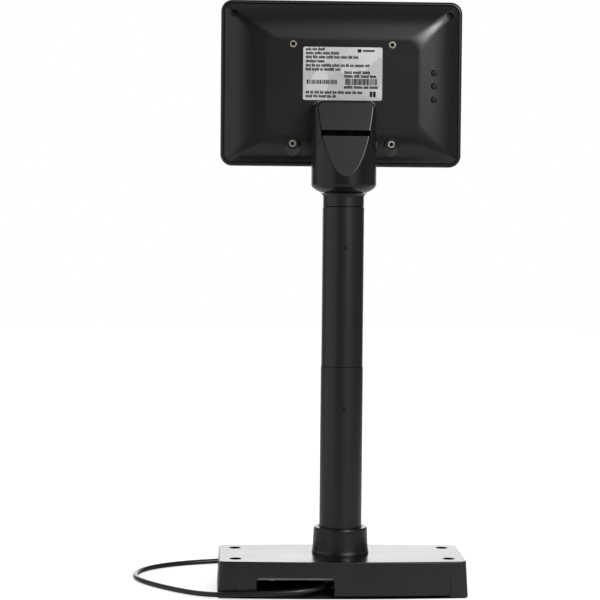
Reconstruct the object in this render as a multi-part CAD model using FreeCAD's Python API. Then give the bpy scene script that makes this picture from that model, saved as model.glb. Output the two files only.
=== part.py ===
import FreeCAD, Part
import math
import os

# Countertop point-of-sale touchscreen on a sectional pole, with a weighted base.
# Millimetres.  Origin: centre of the base's four bolt holes, on the table.
# +Z up, the screen faces -Y, +X is to the right of someone who looks at the screen.

V = FreeCAD.Vector
X_AXIS = V(1, 0, 0)
Y_AXIS = V(0, 1, 0)
Z_AXIS = V(0, 0, 1)

# ---- driving dimensions ------------------------------------------------------

# base
BASE_WIDTH = 182.0          # over the top face
BASE_DEPTH = 68.4           # over the top face, at its two ends
BASE_BOW = 4.0              # the long edges bulge this much in the middle
BASE_HEIGHT = 27.0
BASE_DRAFT = 1.5            # the skirt stands out this much more at the table
BASE_WALL = 2.5
BASE_CORNER = 4.5
BOLT_X = 158.0              # hole to hole
BOLT_Y = 45.0
BOLT_HOLE_R = 4.5
SKIRT_GAP = 2.3             # between the table and the skirt's long edges
LEG_GAP = 0.9               # between the table and the corner legs
LEG_INNER_X = 78.6          # where a leg ends and the raised skirt starts
NOTCH = (6.6, 63.7)         # cable notch in the rear skirt, along X
NOTCH_TOP = 15.3
PLATE_Z = (12.0, 22.0)      # ballast plate

# pole
POLE_Y = -4.0               # pole axis, ahead of the bolt pattern's centre
UPPER_TUBE_R = 15.55
LOWER_TUBE_R = 15.85
TUBE_BORE_R = 14.05
SEAM_Z = 167.6              # where the two tubes meet
RING_Z = (287.0, 297.0)     # visible ring of the pivot post
SCREW_DROP = 30.4           # a tube's locking screw is this far under its top end
SPIGOT_R = 14.0             # whatever slides inside a tube
SPIGOT_LENGTH = 40.0
RING_R = 15.3               # the ring on top of the upper tube ...
RING_FLARE = [(3.0, 0.0), (1.9, 0.25), (1.0, 0.8), (0.4, 1.5), (0.0, 2.2)]   # ... flares out under the neck
TUBE_CHAMFER = 0.4
PIVOT_R = 10.0
PIVOT_CLEARANCE = 0.06

# neck and hinge cap: one cylinder, cut by one sloping plane and split by an arc
NECK_R = 24.4
NECK_FUNNEL = [(17.0, 297.45), (19.6, 298.6), (22.0, 300.1), (23.6, 301.6), (NECK_R, 303.2)]
NECK_FLOOR = 308.0
NECK_FRONT_TOP = 325.5      # its front stops here, so that the head can tilt down
FACET_Y = 17.0              # the sloping plane passes here ...
FACET_Z = 339.0             # ... at the top of the neck's rear wall
FACET_SLOPE = 14.0          # degrees from upright
FACET_EDGE_R = 1.2
TILT_Z = 351.4              # tilt axis
SPLIT_R = 23.4              # neck's hollow top, about the tilt axis
CHEEK_R = 22.9              # hinge cap's round underside, about the tilt axis
CAP_TOP = 365.5
CAP_EDGE_Z = 343.4          # lower edge of the cap's rear wall
CAP_INNER = 18.15           # half of the gap between the cap's cheeks
CAP_TOP_EDGE_R = 6.5
CAP_REAR_EDGE_R = 2.4
TILT_PIN_R = 3.0
EAR_R = 6.5                 # rounded top of each bracket ear

# head
HEAD_WIDTH = 184.0
HEAD_HEIGHT = 125.8
HEAD_Z = 380.3              # centre of the head
HEAD_CORNER = 9.0
BACK_Y = -23.0              # flat middle of the rear cover, from the pole axis
RIM_Y = -35.0               # rear cover's outer edge
BEZEL_BACK_Y = -34.6
FRONT_Y = -48.0
FLAT_HALF_X = 57.4          # flat middle of the rear cover
FLAT_TOP_Z = 412.8
FLAT_BOTTOM_Z = 341.5
COVER_INSET = 2.7           # rear cover's edge, inside the bezel's edge
COVER_WALL = 2.2
VESA = 75.0
VESA_Z = 371.8
INSERT_R = 2.55
INSERT_HOLE_R = 1.65        # M4 thread
CASE_SCREW = (82.0, 432.4)
BUTTON_X = -69.5
BUTTON_Z = (388.6, 378.6, 368.6)
BUTTON_NAMES = ("button_menu", "button_adjust", "button_power")
BUTTON_R = 2.1
BUTTON_HOLE_R = 2.45
BUTTON_FLANGE_R = 3.0
BUTTON_SEAT_Y = -31.8        # flat seat inside the cover, above each button's flange
LABEL = (60.0, 40.0, 387.2)  # width, height, centre height above the table

# cord
CORD_R = 2.0
CORD_EXIT = V(8.0, 17.5, 7.2)
CLAMP_SCREW = (-7.5, -5.0)   # across the cable, and along it from the exit
COIL_CENTRE = V(40.0, -74.5, 0.0)
COIL_TURN_R = (18.0, 30.0)   # innermost and outermost turn
COIL_Z = (0.6, 8.9)          # it lies on the tie's lower strap
TIE_STRAP = 0.5


# ---- helpers -----------------------------------------------------------------

def box(x0, x1, y0, y1, z0, z1):
    return Part.makeBox(x1 - x0, y1 - y0, z1 - z0, V(x0, y0, z0))


def rod(radius, start, end):
    """A round bar between two points."""
    along = end.sub(start)
    return Part.makeCylinder(radius, along.Length, start, along)


def ring(outer, inner, start, end):
    """A round tube between two points."""
    reach = end.sub(start)
    reach.normalize()
    return rod(outer, start, end).cut(rod(inner, start.sub(reach), end.add(reach)))


def upright(radius, z0, z1, x=0.0, y=0.0):
    return rod(radius, V(x, y, z0), V(x, y, z1))


def upright_ring(outer, inner, z0, z1, x=0.0, y=0.0):
    return ring(outer, inner, V(x, y, z0), V(x, y, z1))


def join(first, *others):
    shape = first.fuse(list(others)).removeSplitter()
    return shape


def group(solids):
    return Part.makeCompound(solids)


def turned(points):
    """A solid of revolution about the pole axis from (radius, z) corners."""
    corners = [V(r, 0, z) for r, z in points]
    face = Part.Face(Part.makePolygon(corners + [corners[0]]))
    return face.revolve(V(0, 0, 0), Z_AXIS, 360)


def edges_where(shape, test):
    return [edge for edge in shape.Edges if test(edge)]


def on_pole(shape):
    """Move a shape drawn about the pole axis to its place on the base."""
    moved = shape.copy()
    moved.translate(V(0, POLE_Y, 0))
    return moved


def corner_radii(points):
    """The largest tangent arc at each inner corner of a route."""
    radii = []
    for before, here, after in zip(points, points[1:], points[2:]):
        inward = here.sub(before)
        outward = after.sub(here)
        half_turn = inward.getAngle(outward) / 2
        radii.append(0.45 * min(inward.Length, outward.Length) / math.tan(half_turn))
    return radii


def route_wire(points):
    """Straight runs joined by tangent arcs."""
    edges = []
    start = points[0]
    for before, here, after, radius in zip(points, points[1:], points[2:], corner_radii(points)):
        inward = here.sub(before).normalize()
        outward = after.sub(here).normalize()
        half_turn = inward.getAngle(outward) / 2
        reach = radius * math.tan(half_turn)
        arc_in = here - inward * reach
        arc_out = here + outward * reach
        bisector = (outward - inward).normalize()
        centre = here + bisector * (radius / math.cos(half_turn))
        arc_middle = centre - bisector * radius
        edges.append(Part.LineSegment(start, arc_in).toShape())
        edges.append(Part.Arc(arc_in, arc_middle, arc_out).toShape())
        start = arc_out
    edges.append(Part.LineSegment(start, points[-1]).toShape())
    return Part.Wire(edges)


def cord_tube(name, points, radius=CORD_R):
    """A solid cord along a route; prints its length, bends and volume check."""
    wire = route_wire(points)
    heading = points[1].sub(points[0])
    section = Part.Wire([Part.makeCircle(radius, points[0], heading)])
    tube = wire.makePipeShell([section], True, False)
    expected = math.pi * radius**2 * wire.Length
    print(name, "length %.1f" % wire.Length, "volume ratio %.4f" % (tube.Volume / expected))
    print(name, "bend radii", ["%.0f" % r for r in corner_radii(points)])
    return tube


# ---- base --------------------------------------------------------------------

def base_outline(grow, z):
    """The base's plan, grown outwards, as a closed wire at one height."""
    half_x = BASE_WIDTH / 2 + grow
    half_y = BASE_DEPTH / 2 + grow
    bulge = half_y + BASE_BOW
    front_right = V(half_x, -half_y, z)
    rear_right = V(half_x, half_y, z)
    rear_left = V(-half_x, half_y, z)
    front_left = V(-half_x, -half_y, z)
    sides = [
        Part.LineSegment(front_right, rear_right),
        Part.Arc(rear_right, V(0, bulge, z), rear_left),
        Part.LineSegment(rear_left, front_left),
        Part.Arc(front_left, V(0, -bulge, z), front_right),
    ]
    return Part.Wire([side.toShape() for side in sides])


def drafted_block(inset, z0, z1, corner):
    """The base's outer form, moved inwards by an inset, with round corners."""
    def grow_at(z):
        return BASE_DRAFT * (1 - z / BASE_HEIGHT) - inset
    block = Part.makeLoft([base_outline(grow_at(z0), z0), base_outline(grow_at(z1), z1)], True, True)
    posts = edges_where(block, lambda e: abs(e.tangentAt(e.FirstParameter).z) > 0.9)
    return block.makeFillet(corner, posts)


def bolt_places():
    return [(x, y) for x in (-BOLT_X / 2, BOLT_X / 2) for y in (-BOLT_Y / 2, BOLT_Y / 2)]


def plate_screw_places():
    return [(x, y) for x in (-52.0, 52.0) for y in (-18.0, 18.0)]


def flange_screw_places():
    reach = 18.5 / math.sqrt(2)
    return [(x, POLE_Y + y) for x in (-reach, reach) for y in (-reach, reach)]


def make_base_shell():
    block = drafted_block(0.0, LEG_GAP, BASE_HEIGHT, BASE_CORNER)
    rim = edges_where(block, lambda e: e.BoundBox.ZMin > BASE_HEIGHT - 0.01)
    shell = block.makeFillet(0.9, rim)
    shell = shell.cut(drafted_block(BASE_WALL, LEG_GAP - 1, BASE_HEIGHT - BASE_WALL, 2.2))
    leg_inner_y = BASE_DEPTH / 2 - 12.0
    shell = shell.cut(box(-LEG_INNER_X, LEG_INNER_X, -60, 60, 0, SKIRT_GAP))
    shell = shell.cut(box(-120, 120, -leg_inner_y, leg_inner_y, 0, SKIRT_GAP))
    # the cable notch, with rounded upper corners
    notch = box(NOTCH[0], NOTCH[1], 25, 60, -5, NOTCH_TOP)
    corners = edges_where(notch, lambda e: abs(e.tangentAt(0).y) > 0.9 and e.BoundBox.ZMin > 1)
    shell = shell.cut(notch.makeFillet(2.5, corners))
    # a fine moulding line up the rear skirt at each leg
    for side in (-1, 1):
        x = side * (LEG_INNER_X + 0.2)
        shell = shell.cut(box(x - 0.25, x + 0.25, 35.4, 60, 0, 20.0))
    bosses = [upright(8.2, 0.45, BASE_HEIGHT - 1.5, x, y) for x, y in bolt_places()]
    posts = [upright(3.6, PLATE_Z[1], BASE_HEIGHT - 1.5, x, y) for x, y in plate_screw_places()]
    inside = drafted_block(0.6, 0.45, BASE_HEIGHT - 1.2, 4.0)
    shell = join(shell, *[boss.common(inside) for boss in bosses], *posts)
    for x, y in bolt_places():
        shell = shell.cut(upright(BOLT_HOLE_R, -1, BASE_HEIGHT + 1, x, y))
        shell = shell.cut(upright_ring(7.4, 5.4, 0, 2.4, x, y))
    for x, y in plate_screw_places():
        shell = shell.cut(upright(1.45, PLATE_Z[1] - 1, 25.6, x, y))
    return shell.cut(upright(SPIGOT_R + 0.1, 20, 30, 0, POLE_Y))


def make_base_feet():
    return group([upright_ring(7.3, 5.5, 0.0, 2.4, x, y) for x, y in bolt_places()])


def make_ballast_plate():
    block = box(-67, 67, -28, 28, *PLATE_Z)
    corners = edges_where(block, lambda e: abs(e.tangentAt(0).z) > 0.9)
    plate = block.makeFillet(4.0, corners)
    plate = plate.cut(upright(14.0, 10, 25, 0, POLE_Y))
    for x, y in plate_screw_places():
        plate = plate.cut(upright(1.7, 10, 25, x, y))
    for x, y in flange_screw_places():
        plate = plate.cut(upright(2.2, 10, 25, x, y))
        plate = plate.cut(upright(3.8, 10, PLATE_Z[0] + 3.0, x, y))
    x, y = clamp_point(*CLAMP_SCREW)
    return plate.cut(upright(1.4, 10, 19, x, y))


def make_ballast_screws():
    screws = []
    for x, y in plate_screw_places():
        head = upright(3.0, PLATE_Z[0] - 1.8, PLATE_Z[0], x, y)
        drive = upright(1.1, 0, PLATE_Z[0] - 0.9, x, y)
        screws.append(join(head, upright(1.4, PLATE_Z[0], 25.2, x, y)).cut(drive))
    return group(screws)


def make_flange_screws():
    screws = []
    for x, y in flange_screw_places():
        head = upright(3.5, PLATE_Z[0] + 0.4, PLATE_Z[0] + 3.0, x, y)
        drive = upright(1.5, 0, PLATE_Z[0] + 1.8, x, y)
        screws.append(join(head, upright(2.0, PLATE_Z[0] + 3, 24.3, x, y)).cut(drive))
    return group(screws)


def make_base_spigot():
    flange_z = (PLATE_Z[1], BASE_HEIGHT - BASE_WALL)
    spigot = join(upright(23.0, *flange_z, 0, POLE_Y), upright(SPIGOT_R, 22, 72, 0, POLE_Y))
    spigot = spigot.cut(upright(11.0, 20, 75, 0, POLE_Y))
    for x, y in flange_screw_places():
        spigot = spigot.cut(upright(2.05, 20, 26, x, y))
    return spigot


def clamp_point(across, along):
    """A place near the cable clamp: across the cable, and along it from the exit."""
    heading = V(CORD_EXIT.x, CORD_EXIT.y - POLE_Y, 0).normalize()
    sideways = V(heading.y, -heading.x, 0)
    place = CORD_EXIT + heading * along + sideways * across
    return place.x, place.y


def make_cable_clamp():
    """A nylon saddle under the ballast plate; the cable leaves it at CORD_EXIT."""
    turn = -math.degrees(math.atan2(CORD_EXIT.x, CORD_EXIT.y - POLE_Y))
    block = box(-11.0, 4.4, -10.0, 0.0, 3.6, PLATE_Z[0])
    corners = edges_where(block, lambda e: abs(e.tangentAt(0).y) > 0.9 and e.BoundBox.ZMin < 4)
    block = block.makeFillet(2.0, corners)
    block.rotate(V(0, 0, 0), Z_AXIS, turn)
    block.translate(V(CORD_EXIT.x, CORD_EXIT.y, 0))
    x0, y0 = clamp_point(0, -11)
    x1, y1 = clamp_point(0, 1)
    block = block.cut(rod(CORD_R + 0.03, V(x0, y0, CORD_EXIT.z), V(x1, y1, CORD_EXIT.z)))
    x, y = clamp_point(*CLAMP_SCREW)
    return block.cut(upright(1.7, 0, 20, x, y))


def make_clamp_screw():
    x, y = clamp_point(*CLAMP_SCREW)
    screw = join(upright(2.8, 1.9, 3.6, x, y), upright(1.4, 3.6, 18.5, x, y))
    return screw.cut(upright(1.0, 0, 2.8, x, y))


def make_base_collar():
    profile = [(16.0, 27), (21.4, 27), (21.4, 28.2), (20.9, 30.2), (20.6, 34),
               (20.1, 45.6), (19.4, 46.9), (17.0, 46.9), (16.0, 46.0)]
    return on_pole(turned(profile))


# ---- pole --------------------------------------------------------------------

def tube(radius, z0, z1):
    return upright_ring(radius, TUBE_BORE_R, z0, z1)


def screw_hole(z):
    return rod(1.9, V(0, 0, z), V(0, 20, z))


def make_lower_tube():
    return on_pole(tube(LOWER_TUBE_R, BASE_HEIGHT, SEAM_Z).cut(screw_hole(SEAM_Z - SCREW_DROP)))


def make_upper_tube():
    shell = tube(UPPER_TUBE_R, SEAM_Z, RING_Z[0])
    rims = edges_where(shell, lambda e: e.BoundBox.ZLength < 0.01 and e.Curve.Radius > UPPER_TUBE_R - 0.1)
    shell = shell.makeChamfer(TUBE_CHAMFER, rims)
    return on_pole(shell.cut(screw_hole(RING_Z[0] - SCREW_DROP)))


def make_tube_coupler():
    """The sleeve inside the joint of the two tubes."""
    sleeve = upright_ring(SPIGOT_R, 11.0, SEAM_Z - SPIGOT_LENGTH, SEAM_Z + SPIGOT_LENGTH)
    return on_pole(sleeve.cut(screw_hole(SEAM_Z - SCREW_DROP)))


def make_pivot_post():
    low, high = RING_Z
    flare = [(RING_R + out, high - down) for down, out in RING_FLARE]
    post = join(
        upright(SPIGOT_R, low - SPIGOT_LENGTH, low),
        turned([(0, low), (RING_R - TUBE_CHAMFER, low), (RING_R, low + TUBE_CHAMFER)] + flare + [(0, high)]),
        upright(PIVOT_R, high, 316.0),
    )
    post = post.cut(upright(7.0, low - SPIGOT_LENGTH - 1, 320))
    return on_pole(post.cut(screw_hole(low - SCREW_DROP)))


def make_tube_screws():
    screws = []
    for z in (SEAM_Z - SCREW_DROP, RING_Z[0] - SCREW_DROP):
        screw = rod(1.85, V(0, 11.4, z), V(0, 14.8, z))
        socket = Part.makeCylinder(1.0, 3, V(0, 13.4, z), Y_AXIS)
        screws.append(screw.cut(socket))
    return on_pole(group(screws))


def make_swivel_washers():
    """One washer carries the neck on the ring, the other one is under the nut."""
    lower = upright_ring(14.6, PIVOT_R + 0.4, RING_Z[1], RING_Z[1] + 0.4)
    upper = upright_ring(13.0, PIVOT_R + 0.4, NECK_FLOOR + 0.1, NECK_FLOOR + 1.3)
    return on_pole(group([lower, upper]))


def make_swivel_nut():
    sides = [V(13.0 * math.cos(a), 13.0 * math.sin(a), 309.5) for a in
             [math.radians(60 * i + 30) for i in range(7)]]
    nut = Part.Face(Part.makePolygon(sides)).extrude(V(0, 0, 4.5))
    return on_pole(nut.cut(upright(PIVOT_R + 0.02, 305, 320)))


# ---- neck (turns on the pole) ------------------------------------------------

def behind_facet(inset):
    """Everything behind the sloping rear plane, moved inwards by an inset."""
    block = box(-60, 60, 0, 80, -100, 100)
    block.rotate(V(0, 0, 0), X_AXIS, FACET_SLOPE)
    shift = inset / math.cos(math.radians(FACET_SLOPE))
    block.translate(V(0, FACET_Y - shift, FACET_Z))
    return block


def tilt_cylinder(radius, half_length=40.0):
    return rod(radius, V(-half_length, 0, TILT_Z), V(half_length, 0, TILT_Z))


def neck_post_places():
    return [(x, y) for x in (-15.4, 15.4) for y in (-8.6, 8.6)]


def make_neck_housing():
    bore_r = PIVOT_R + PIVOT_CLEARANCE
    funnel_z = NECK_FUNNEL[0][1]
    body = turned([(bore_r, funnel_z)] + NECK_FUNNEL + [(NECK_R, FACET_Z), (bore_r, FACET_Z)])
    body = body.cut(behind_facet(0.0))
    facet_edge = edges_where(body, lambda e: e.BoundBox.ZLength > 20 and e.BoundBox.YLength > 5)
    body = body.makeFillet(FACET_EDGE_R, facet_edge)
    hollow = upright(NECK_R - 2.0, NECK_FLOOR, 400).cut(behind_facet(2.0))
    body = body.cut(hollow)
    rear_wall = box(-CAP_INNER + 0.4, CAP_INNER - 0.4, 10.0, 40.0, 300, 400)
    body = body.cut(tilt_cylinder(SPLIT_R).cut(rear_wall))
    body = body.cut(box(-40, 40, -40, -11.2, NECK_FRONT_TOP, 400))
    posts = [upright(3.0, NECK_FLOOR - 1, 316.0, x, y) for x, y in neck_post_places()]
    body = join(body, *posts)
    for x, y in neck_post_places():
        body = body.cut(upright(1.2, NECK_FLOOR, 320, x, y))
    return on_pole(body)


def make_tilt_bracket():
    """A folded steel bracket whose two ears carry the tilt pins."""
    plate = box(-18.5, 18.5, -11, 11, 316.0, 318.0).common(upright(21.4, 300, 330))
    ears = []
    for side in (-1, 1):
        x0, x1 = sorted((side * 11.5, side * 13.5))
        ear = box(x0, x1, -EAR_R, EAR_R, 317.0, TILT_Z)
        ears.append(ear.fuse(rod(EAR_R, V(x0, 0, TILT_Z), V(x1, 0, TILT_Z))))
    bracket = join(plate, *ears)
    bracket = bracket.cut(tilt_cylinder(TILT_PIN_R + 0.05))
    bracket = bracket.cut(upright(6.0, 310, 320))
    for x, y in neck_post_places():
        bracket = bracket.cut(upright(1.7, 310, 320, x, y))
    return on_pole(bracket)


def make_bracket_screws():
    screws = []
    for x, y in neck_post_places():
        screw = join(upright(2.4, 318.0, 319.6, x, y), upright(1.15, 309.0, 318.0, x, y))
        screws.append(screw.cut(upright(0.9, 318.8, 325, x, y)))
    return on_pole(group(screws))


# ---- hinge cap and tilt hardware (tilt with the head) ------------------------

def make_hinge_cap():
    plan = upright(NECK_R, 320, CAP_TOP).fuse(box(-NECK_R, NECK_R, BACK_Y, 0, 320, CAP_TOP))
    plan = plan.removeSplitter()
    rim = edges_where(plan, lambda e: e.BoundBox.ZMin > CAP_TOP - 0.01
                      and e.BoundBox.YMax > BACK_Y + 0.01)
    body = plan.makeFillet(CAP_TOP_EDGE_R, rim)
    body = body.cut(behind_facet(0.0))
    rear = edges_where(body, lambda e: e.BoundBox.YMin > 5 and e.BoundBox.ZMin > 350)
    body = body.makeFillet(CAP_REAR_EDGE_R, rear)
    lower_limit = join(tilt_cylinder(CHEEK_R), box(-40, 40, BACK_Y, 40, TILT_Z, 400),
                       box(-40, 40, BACK_Y, -12, 344, TILT_Z))
    body = body.common(lower_limit)
    hollow = box(-17.4, 17.4, BACK_Y + 2.6, 40, CAP_EDGE_Z, CAP_TOP - 2.4).cut(behind_facet(2.0))
    gap = box(-CAP_INNER, CAP_INNER, BACK_Y + 2.6, 40, 300, CAP_EDGE_Z)
    body = body.cut(hollow).cut(gap)
    for side in (-1, 1):
        boss = rod(7.2, V(side * 15.0, 0, TILT_Z), V(side * 19.0, 0, TILT_Z))
        body = body.fuse(boss)
        body = body.cut(rod(TILT_PIN_R, V(side * 14.0, 0, TILT_Z), V(side * 21.5, 0, TILT_Z)))
    body = body.cut(box(-8, 8, -40, -10, 347.0, 358.5))
    for x, z in cap_screw_places():
        body = body.cut(rod(1.2, V(x, -40, z), V(x, BACK_Y + 8, z)))
    return on_pole(body.removeSplitter())


def cap_screw_places():
    return [(x, z) for x in (-20.4, 20.4) for z in (351.0, 358.0)]


def make_cap_screws():
    screws = []
    for x, z in cap_screw_places():
        inner = BACK_Y - COVER_WALL
        head = rod(2.4, V(x, inner - 1.6, z), V(x, inner, z))
        screw = join(head, rod(1.15, V(x, inner, z), V(x, BACK_Y + 6.5, z)))
        screws.append(screw.cut(rod(0.9, V(x, inner - 3, z), V(x, inner - 0.8, z))))
    return on_pole(group(screws))


def make_tilt_pins():
    pins = []
    for side in (-1, 1):
        shank = rod(TILT_PIN_R, V(side * 9.6, 0, TILT_Z), V(side * 21.4, 0, TILT_Z))
        head = rod(5.0, V(side * 9.6, 0, TILT_Z), V(side * 11.35, 0, TILT_Z))
        pins.append(join(shank, head))
    return on_pole(group(pins))


def make_friction_washers():
    return on_pole(group([
        ring(6.4, TILT_PIN_R + 0.15, V(side * 13.65, 0, TILT_Z), V(side * 14.95, 0, TILT_Z))
        for side in (-1, 1)
    ]))


# ---- head --------------------------------------------------------------------

def head_outline(half_x, z0, z1, radius, y):
    """A rounded rectangle that faces along Y."""
    centres = [(half_x - radius, z1 - radius, 0), (-half_x + radius, z1 - radius, 90),
               (-half_x + radius, z0 + radius, 180), (half_x - radius, z0 + radius, 270)]
    edges = []
    arcs = []
    for x, z, start in centres:
        spots = [V(x + radius * math.cos(math.radians(start + turn)), y,
                   z + radius * math.sin(math.radians(start + turn))) for turn in (0, 45, 90)]
        arcs.append(spots)
    for here, after in zip(arcs, arcs[1:] + arcs[:1]):
        edges.append(Part.Arc(*here).toShape())
        edges.append(Part.LineSegment(here[2], after[0]).toShape())
    return Part.Wire(edges)


def head_block(inset, y0, y1, radius):
    half_x = HEAD_WIDTH / 2 - inset
    half_z = HEAD_HEIGHT / 2 - inset
    wire = head_outline(half_x, HEAD_Z - half_z, HEAD_Z + half_z, radius, y0)
    return Part.Face(wire).extrude(V(0, y1 - y0, 0))


def window_block(width, height, y0, y1, radius):
    wire = head_outline(width / 2, HEAD_Z - height / 2, HEAD_Z + height / 2, radius, y0)
    return Part.Face(wire).extrude(V(0, y1 - y0, 0))


# the rear cover's pillow shape, steep at its edge and easing into the flat middle:
# share of the way in, share of the rise, corner radius
SLOPE = [(0.00, 0.000, 6.4), (0.08, 0.165, 5.8), (0.18, 0.340, 5.2), (0.32, 0.535, 5.0),
         (0.48, 0.700, 5.4), (0.64, 0.825, 6.2), (0.80, 0.920, 7.6), (0.92, 0.980, 9.0),
         (1.00, 1.000, 10.0)]


def cover_form(wall):
    """The rear cover's dished outer form, or that form moved inwards by a wall."""
    rim_x = HEAD_WIDTH / 2 - COVER_INSET
    rim_z = HEAD_HEIGHT / 2 - COVER_INSET
    sections = []
    for inward, rise, radius in SLOPE:
        half_x = rim_x + (FLAT_HALF_X - rim_x) * inward - wall
        top = HEAD_Z + rim_z + (FLAT_TOP_Z - HEAD_Z - rim_z) * inward - wall
        bottom = HEAD_Z - rim_z + (FLAT_BOTTOM_Z - HEAD_Z + rim_z) * inward + wall
        y = RIM_Y + (BACK_Y - RIM_Y) * rise - wall
        sections.append(head_outline(half_x, bottom, top, max(radius - wall, 1.5), y))
    return Part.makeLoft(sections, True, False)


def vesa_places():
    half = VESA / 2
    return [(x, VESA_Z + z) for x in (-half, half) for z in (-half, half)]


def make_rear_cover():
    outer = cover_form(0.0)
    cover = outer.fuse(head_block(COVER_INSET, RIM_Y - 3.0, RIM_Y, 6.4))
    lower_bosses = [Part.makeCone(10.0, 4.5, 8.0, V(x, BACK_Y - 8.0, z), Y_AXIS)
                    for x, z in vesa_places() if z < VESA_Z]
    cover = join(cover, *lower_bosses)
    hollow = cover_form(COVER_WALL).fuse(head_block(COVER_INSET + 2.0, RIM_Y - 10, RIM_Y - COVER_WALL, 4.4))
    cover = cover.cut(hollow)
    inner_bosses = [rod(4.6, V(x, BACK_Y - 8.5, z), V(x, BACK_Y - 1, z)) for x, z in vesa_places()]
    corner_x, corner_z = CASE_SCREW
    inner_bosses += [rod(4.2, V(side * corner_x, -38.4, corner_z), V(side * corner_x, -35, corner_z))
                     for side in (-1, 1)]
    inner_bosses += [rod(2.6, V(x, -35.0, z), V(x, -27.2, z)) for x, z in key_post_places()]
    inner_bosses += [rod(3.0, V(x, -34.4, z), V(x, -24.2, z)) for x, z in board_post_places()]
    trim = outer.fuse(head_block(COVER_INSET, RIM_Y - 6.0, RIM_Y, 6.4))
    lower_trim = trim.fuse(lower_bosses)
    cover = join(cover, *[boss.common(lower_trim) for boss in inner_bosses])
    for x, z in vesa_places():
        cover = cover.cut(rod(INSERT_R, V(x, BACK_Y - 6.5, z), V(x, 0, z)))
    for side in (-1, 1):
        x = side * corner_x
        cover = cover.cut(rod(2.7, V(x, -36.6, corner_z), V(x, 0, corner_z)))
        cover = cover.cut(rod(1.4, V(x, -45, corner_z), V(x, 0, corner_z)))
    for z in BUTTON_Z:
        cover = cover.cut(rod(BUTTON_HOLE_R, V(BUTTON_X, -40, z), V(BUTTON_X, 0, z)))
        cover = cover.cut(rod(BUTTON_FLANGE_R + 0.3, V(BUTTON_X, -40, z), V(BUTTON_X, BUTTON_SEAT_Y, z)))
    cover = cover.cut(box(-8, 8, -40, 0, 347.0, 358.5))
    for x, z in cap_screw_places():
        cover = cover.cut(rod(1.5, V(x, -40, z), V(x, 0, z)))
    for x, z in key_post_places():
        cover = cover.cut(rod(0.8, V(x, -40, z), V(x, -30, z)))
    for x, z in board_post_places():
        cover = cover.cut(rod(1.2, V(x, -40, z), V(x, -27, z)))
    return on_pole(cover)


def make_front_bezel():
    block = head_block(0.0, FRONT_Y, BEZEL_BACK_Y, HEAD_CORNER)
    back_rim = edges_where(block, lambda e: e.BoundBox.YMin > BEZEL_BACK_Y - 0.01)
    block = block.makeFillet(2.1, back_rim)
    front_rim = edges_where(block, lambda e: e.BoundBox.YMax < FRONT_Y + 0.01)
    block = block.makeFillet(1.2, front_rim)
    block = block.cut(head_block(2.6, FRONT_Y - 1, -46.3, 6.6))
    block = block.cut(window_block(158, 90, -47, -44, 1.0))
    block = block.cut(head_block(4.4, -44.3, 0, 4.8))
    block = block.cut(head_block(2.4, -38.3, 0, 6.7))
    corner_x, corner_z = CASE_SCREW
    for side in (-1, 1):
        x = side * corner_x
        block = block.fuse(rod(3.4, V(x, -45, corner_z), V(x, -38.6, corner_z)))
        block = block.cut(rod(1.0, V(x, -44, corner_z), V(x, -38, corner_z)))
    return on_pole(block.removeSplitter())


def make_case_screws():
    corner_x, z = CASE_SCREW
    screws = []
    for side in (-1, 1):
        x = side * corner_x
        head = rod(2.3, V(x, -36.6, z), V(x, -35.2, z))
        head = head.makeFillet(0.5, edges_where(head, lambda e: e.BoundBox.YMin > -35.3))
        screw = join(head, rod(1.0, V(x, -43.5, z), V(x, -36.6, z)))
        cross = box(x - 1.3, x + 1.3, -35.9, -34, z - 0.25, z + 0.25)
        cross = cross.fuse(box(x - 0.25, x + 0.25, -35.9, -34, z - 1.3, z + 1.3))
        screws.append(screw.cut(cross))
    return on_pole(group(screws))


def make_vesa_inserts():
    inserts = []
    for x, z in vesa_places():
        insert = ring(INSERT_R, INSERT_HOLE_R, V(x, BACK_Y - 6.5, z), V(x, BACK_Y + 0.15, z))
        inserts.append(insert)
    return on_pole(group(inserts))


def make_touch_glass():
    glass = head_block(2.85, FRONT_Y - 0.1, -46.35, 6.3)
    rim = edges_where(glass, lambda e: e.BoundBox.YMax < FRONT_Y)
    return on_pole(glass.makeFillet(0.4, rim))


def make_lcd_module():
    frame = window_block(166, 96.6, -44.25, -39.0, 1.5)
    tape = window_block(157, 89, -46.3, -44.25, 0.8)
    return on_pole(join(frame, tape))


def board_post_places():
    return [(x, z) for x in (-46.0, 46.0) for z in (352.0, 402.0)]


def make_controller_board():
    board = box(-50, 50, -36.0, -34.4, 347.5, 406.5)
    parts = [
        box(-12, 12, -34.5, -33.2, 383, 405), box(20, 33, -34.5, -32.9, 376, 389),
        box(-34, -22, -34.5, -33.0, 360, 372), box(-5, 5, -34.5, -27.6, 373.0, 380.5),
        box(30, 40, -34.5, -30.0, 355, 367), box(-44, -39, -34.5, -31.5, 378, 392),
    ]
    board = join(board, *parts)
    for x, z in board_post_places():
        board = board.cut(rod(1.5, V(x, -40, z), V(x, -30, z)))
    return on_pole(board)


def key_post_places():
    return [(BUTTON_X, BUTTON_Z[0] + 8.0), (BUTTON_X, BUTTON_Z[2] - 8.0)]


def make_key_board():
    board = box(BUTTON_X - 5, BUTTON_X + 5, -36.6, -35.0, BUTTON_Z[2] - 11, BUTTON_Z[0] + 11)
    switches = []
    for z in BUTTON_Z:
        switches.append(box(BUTTON_X - 3, BUTTON_X + 3, -35.1, -34.1, z - 3, z + 3))
        switches.append(rod(1.4, V(BUTTON_X, -34.5, z), V(BUTTON_X, -33.9, z)))
    board = join(board, *switches)
    for x, z in key_post_places():
        board = board.cut(rod(1.1, V(x, -40, z), V(x, -30, z)))
    return on_pole(board)


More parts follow.
